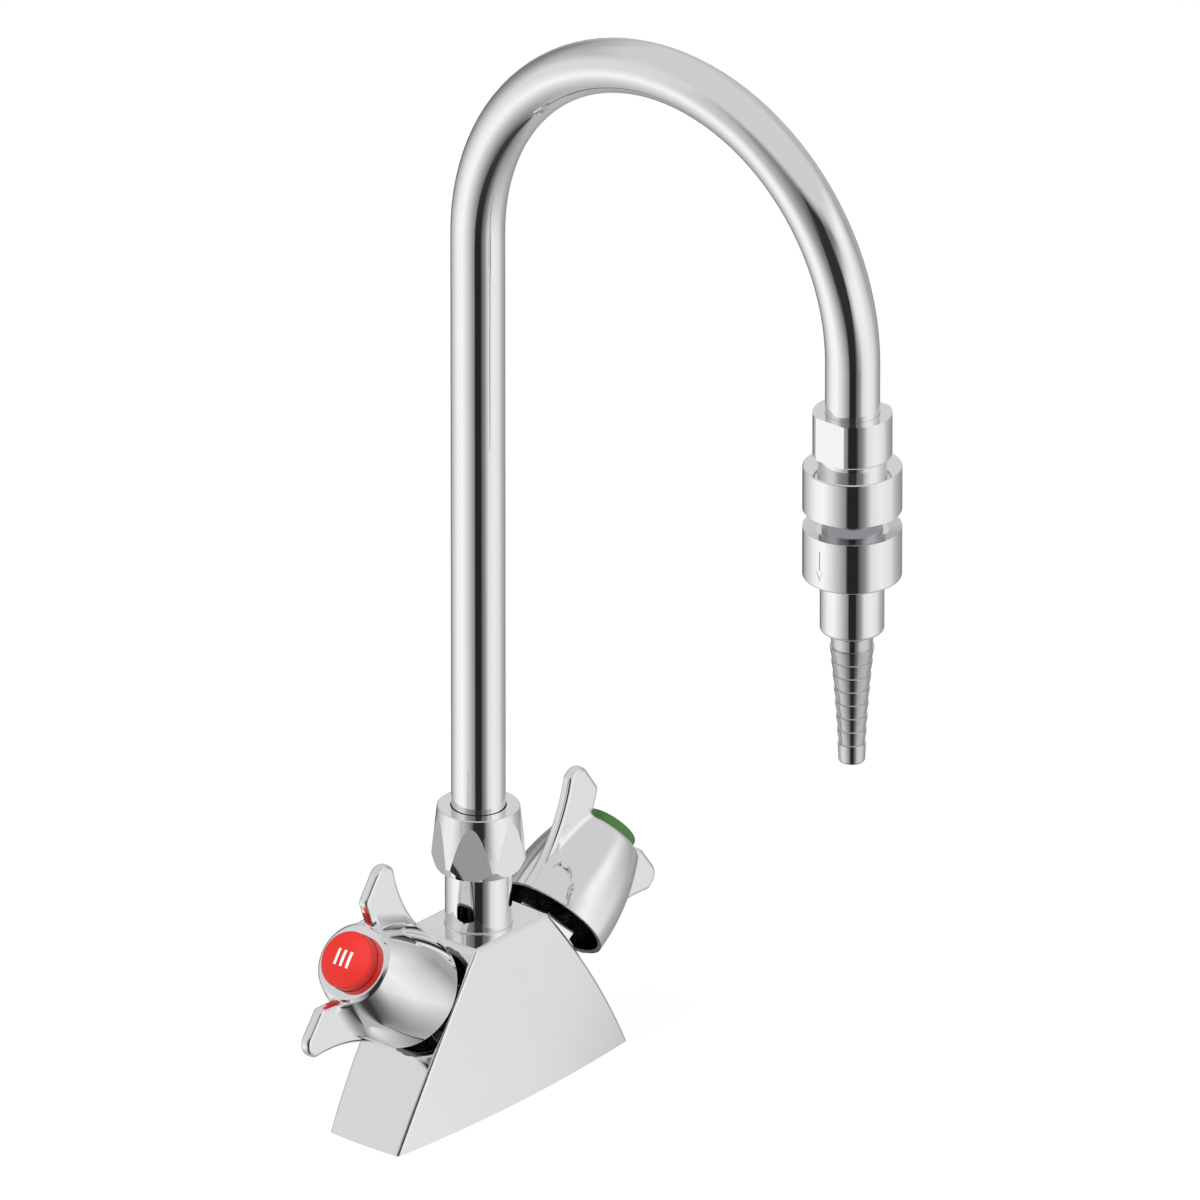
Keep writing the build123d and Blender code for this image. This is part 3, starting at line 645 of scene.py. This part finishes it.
# %% Turn the caps
cap_radius = 9.36
cap_top = 44.95
cap_outline = (
    ((0.0, 34.6), 0.0), ((cap_radius, 34.6), 0.0), ((cap_radius, 43.25), 0.95),
    ((6.6, 44.12), 0.0), ((5.0, 44.48), 0.0), ((3.3, 44.74), 0.0), ((1.6, 44.90), 0.0),
    ((0.0, cap_top), 0.0),
)
cap_pattern = turned("cap pattern", trace(cap_outline))
shade_smooth(cap_pattern, 40)
cap_finishes = {"hot": red, "cold": green}
caps = place_on_handles(cap_pattern, "_soft_cap", cap_finishes)
for side, piece in caps.items():
    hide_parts(side + "_index_cap")
    print(side, "cap faces:", len(piece.data.polygons))

# %% [markdown]
# The caps carry plain raised bars as their marks: three for hot and one for cold. A bar is a narrow
# grid laid a little above the cap's crown, with a thickness that reaches down into it.

# %% Bars on the caps
crown_sphere = 26.55
bar_places = {"hot": (-2.4, 0.0, 2.4), "cold": (0.0,)}


def crown_height(x, y):
    return cap_top - crown_sphere + math.sqrt(crown_sphere ** 2 - x * x - y * y)


def index_bars(places, half_width=0.5, half_length=2.7, lift=0.06, thickness=0.2, steps=12):
    """Bars up the cap's face, each a grid that follows the crown."""
    points, faces = [], []
    for middle in places:
        base = len(points)
        for step in range(steps + 1):
            x = -half_length + 2 * half_length * step / steps
            for y in (middle - half_width, middle, middle + half_width):
                points.append((x, y, crown_height(x, y) + lift))
        for step in range(steps):
            for k in (0, 1):
                first = base + 3 * step + k
                faces.append((first, first + 3, first + 4, first + 1))
    piece = new_piece("bar pattern", points, faces)
    apply_modifier(piece, "SOLIDIFY", thickness=thickness * millimetre, offset=-1.0)
    return piece


for side in sides:
    bars = index_bars(bar_places[side])
    place_on_handles(bars, "_index_bars", {side: bar_white}, (side,))
    print(side, "bars:", len(bar_places[side]))

# %% [markdown]
# ## Camera
# A product picture like this is taken from far off with a long lens, so that upright edges stay
# parallel. The camera looks at a point given by its own right, up and backward directions, and its
# distance follows from the width that the picture has to take in.

# %% Camera side and picture frame
camera_azimuth = -49.97
camera_rise = 24.86
picture_width = 376.9 * millimetre
picture_right = 38.19 * millimetre
picture_up = 153.1 * millimetre
picture_depth = 45.0 * millimetre
lens_length = 1500.0
sensor_width = 36.0


def direction_at(azimuth, rise):
    """The direction from the object at a compass angle and a rise, both in degrees."""
    turn, lift = math.radians(azimuth), math.radians(rise)
    return Vector((math.sin(turn) * math.cos(lift), -math.cos(turn) * math.cos(lift),
                   math.sin(lift)))


def aim_back(thing, away):
    """Turn a camera or lamp to look back along the direction that it stands at."""
    thing.rotation_mode = "QUATERNION"
    thing.rotation_quaternion = (-away).to_track_quat("-Z", "Y")


def add_camera():
    back = direction_at(camera_azimuth, camera_rise)
    turn = math.radians(camera_azimuth)
    right = Vector((math.cos(turn), math.sin(turn), 0))
    up = back.cross(right)
    distance = picture_width * lens_length / sensor_width
    data = bpy.data.cameras.new("camera")
    data.lens = lens_length
    data.sensor_width = sensor_width
    data.clip_start = distance / 10
    data.clip_end = distance * 3
    camera = add_object("camera", data)
    target = right * picture_right + up * picture_up + back * picture_depth
    camera.location = target + back * distance
    aim_back(camera, back)
    bpy.context.scene.camera = camera
    print("camera distance", round(distance, 2), "m")


add_camera()
bpy.context.scene.view_settings.view_transform = "Standard"

# %% [markdown]
# ## Room
# Chrome is a mirror, so its look comes from what stands around it. A pale room with a dark strip on
# the viewer's side gives round chrome its narrow dark line between two bright flanks. It could be
# built of panels, but ramps in the world are plain numbers and cast no shadows. Only reflections
# see this room.
#
# It has four levels, each a ramp over the compass direction, and a plain ceiling over them. The
# viewer looks down, so upright chrome shows the eye level to them, a little below the horizon.
# The upper and high levels show in faces that tip back, and the lower one in faces that tip
# forward. A level lists directions in degrees, with nought towards the viewer, and a grey for
# each. Between two directions, and between two levels, the greys run into each other.

# %% Four levels of the room
eye_level = (
    (-180, 0.3), (-162, 0.1), (-140, 0.45), (-95, 0.95), (-70, 1.0), (-45, 0.7), (-15, 0.25),
    (-12, 0.02), (12, 0.02), (15, 0.1), (30, 0.3), (45, 0.78), (70, 0.9), (100, 0.78), (120, 0.48),
    (150, 0.3), (180, 0.3),
)
upper_level = (
    (-180, 0.57), (-160, 0.2), (-140, 0.3), (-105, 0.75), (-75, 0.75), (-40, 0.35), (-22, 0.15),
    (-19, 0.03), (17, 0.03), (20, 0.35), (36, 0.88), (65, 0.95), (100, 0.63), (120, 0.35),
    (150, 0.5), (180, 0.57),
)
high_level = (
    (-180, 0.68), (-150, 0.42), (-110, 0.55), (-90, 0.72), (-68, 0.72), (-45, 0.3), (-15, 0.15),
    (-12, 0.03), (12, 0.03), (15, 0.15), (32, 0.22), (48, 0.7), (65, 0.95), (85, 0.95), (110, 0.68),
    (140, 0.5), (180, 0.68),
)
lower_level = (
    (-180, 0.5), (-90, 0.46), (-60, 0.34), (-12, 0.05), (12, 0.04), (60, 0.28), (95, 0.34),
    (130, 0.46), (180, 0.5),
)
ceiling_colour = (0.66, 0.66, 0.67)
print("stops:", len(eye_level), len(upper_level), len(high_level), len(lower_level))


# %% Where a reflection looks
def compass_angle(tree):
    """Direction around the object as 0 to 1, with the viewer's side at one half, and its height."""
    place = add_node(tree, "ShaderNodeTexCoord")
    turn = add_node(tree, "ShaderNodeMapping")
    viewer = math.radians(camera_azimuth - 90)
    turn.inputs["Rotation"].default_value = (0, 0, -viewer)
    parts = add_node(tree, "ShaderNodeSeparateXYZ")
    angle = add_node(tree, "ShaderNodeMath", operation="ARCTAN2")
    tree.links.new(place.outputs["Generated"], turn.inputs["Vector"])
    tree.links.new(turn.outputs["Vector"], parts.inputs["Vector"])
    tree.links.new(parts.outputs["Y"], angle.inputs[0])
    tree.links.new(parts.outputs["X"], angle.inputs[1])
    share = spread(tree, angle.outputs["Value"], 0.0, 1.0, -math.pi, math.pi)
    return share, parts.outputs["Z"]


def kinds_of_ray(tree):
    """Whether a ray is a reflection or goes through glass, and whether the camera sent it."""
    rays = add_node(tree, "ShaderNodeLightPath")
    either = add_node(tree, "ShaderNodeMath", operation="MAXIMUM")
    tree.links.new(rays.outputs["Is Glossy Ray"], either.inputs[0])
    tree.links.new(rays.outputs["Is Transmission Ray"], either.inputs[1])
    return either.outputs["Value"], rays.outputs["Is Camera Ray"]


def room_ramp(tree, angle, stops):
    """One level of the room as a ramp of greys."""
    ramp = add_node(tree, "ShaderNodeValToRGB")
    elements = ramp.color_ramp.elements
    while len(elements) > 1:
        elements.remove(elements[-1])
    for index, (degrees, grey) in enumerate(stops):
        place = (degrees + 180) / 360
        element = elements[0] if index == 0 else elements.new(place)
        element.position = place
        element.color = (grey, grey, grey, 1)
    tree.links.new(angle, ramp.inputs["Fac"])
    return ramp.outputs["Color"]


# %% [markdown]
# The height of a reflection's direction is 1 straight up and -1 straight down. Each level comes in
# between two heights. The object itself is lit by a plain even grey, which throws no pattern on it,
# and the camera sees pure white behind everything.

# %% Build the room
level_heights = (
    (upper_level, (0.0, 1.0), (-0.4, -0.05)),
    (high_level, (0.0, 1.0), (0.15, 0.42)),
    (lower_level, (1.0, 0.0), (-0.95, -0.45)),
)
ceiling_heights = (0.47, 0.65)


def plain_background(tree, grey):
    background = add_node(tree, "ShaderNodeBackground")
    background.inputs["Color"].default_value = (grey, grey, grey, 1)
    return background


def mix_shaders(tree, factor, first, second):
    mix = add_node(tree, "ShaderNodeMixShader")
    tree.links.new(factor, mix.inputs["Fac"])
    tree.links.new(first.outputs[0], mix.inputs[1])
    tree.links.new(second.outputs[0], mix.inputs[2])
    return mix


def build_room(light_grey=0.45):
    world = bpy.data.worlds.new("studio room")
    bpy.context.scene.world = world
    world.use_nodes = True
    tree = world.node_tree
    tree.nodes.clear()
    mirrored, seen = kinds_of_ray(tree)
    angle, height = compass_angle(tree)
    around = room_ramp(tree, angle, eye_level)
    for stops, shares, heights in level_heights:
        share = spread(tree, height, *shares, *heights)
        around = mix_colours(tree, share, around, room_ramp(tree, angle, stops))
    overhead = spread(tree, height, 0.0, 1.0, *ceiling_heights)
    around = mix_colours(tree, overhead, around, ceiling_colour)
    room = add_node(tree, "ShaderNodeBackground")
    tree.links.new(around, room.inputs["Color"])
    lit = mix_shaders(tree, mirrored, plain_background(tree, light_grey), room)
    shown = mix_shaders(tree, seen, lit, plain_background(tree, 1.0))
    output = add_node(tree, "ShaderNodeOutputWorld")
    tree.links.new(shown.outputs[0], output.inputs["Surface"])
    print("room nodes:", len(tree.nodes))


build_room()

# %% [markdown]
# ## Floor
# The floor is a wide pale sheet, just under the tap's gasket. Most of its brightness is its own, so
# that it stays a clean backdrop, and the rest is lit, so that the object still throws a soft shadow
# on it. Chrome doesn't mirror it, because the room has its own lower level.

# %% Lay the floor
floor_shades = ((0.90, 0.90, 0.90), (0.92, 0.92, 0.92))


def build_floor(size=6.0, drop=0.2 * millimetre, own_light=0.86, own_strength=1.05):
    bpy.ops.object.select_all(action="DESELECT")
    bpy.ops.mesh.primitive_plane_add(size=size, location=(0, 0, -drop))
    floor = bpy.context.active_object
    floor.name = "floor"
    material, tree, shader = new_material("pale floor")
    grain = object_noise(tree, scale=4.0)
    tree.links.new(mix_colours(tree, grain, *floor_shades), shader.inputs["Base Color"])
    shader.inputs["Roughness"].default_value = 0.9
    shader.inputs["Specular IOR Level"].default_value = 0.1
    glow = add_node(tree, "ShaderNodeEmission")
    glow.inputs["Strength"].default_value = own_strength
    rays = add_node(tree, "ShaderNodeLightPath")
    share = add_node(tree, "ShaderNodeMath", operation="MULTIPLY")
    share.inputs[1].default_value = own_light
    tree.links.new(rays.outputs["Is Camera Ray"], share.inputs[0])
    output = tree.nodes["Material Output"]
    mix = mix_shaders(tree, share.outputs["Value"], shader, glow)
    tree.links.new(mix.outputs[0], output.inputs["Surface"])
    floor.data.materials.append(material)
    floor.visible_glossy = False
    print("floor:", size, "m wide")


build_floor()

# %% [markdown]
# ## Lamps
# Two large soft lamps stand on the viewer's side, a stronger one high on the left and a weaker one
# on the right. They shape the plastic caps and the shadow. Reflections don't see them, because the
# room already has its own bright panels.

# %% Set the lamps
lamp_target = Vector((0, -0.08, 0.18))


def add_lamp(name, azimuth, rise, size, power, distance=1.6):
    """A soft lamp at a compass direction from the viewer's side, aimed at the object."""
    away = direction_at(camera_azimuth + azimuth, rise)
    data = bpy.data.lights.new(name, "AREA")
    data.size = size
    data.energy = power
    lamp = add_object(name, data)
    lamp.location = lamp_target + away * distance
    aim_back(lamp, away)
    lamp.visible_glossy = False
    print(name, "at", [round(v, 2) for v in lamp.location])


add_lamp("key lamp", -50, 55, 1.2, 20.0)
add_lamp("fill lamp", 60, 35, 1.4, 8.0)
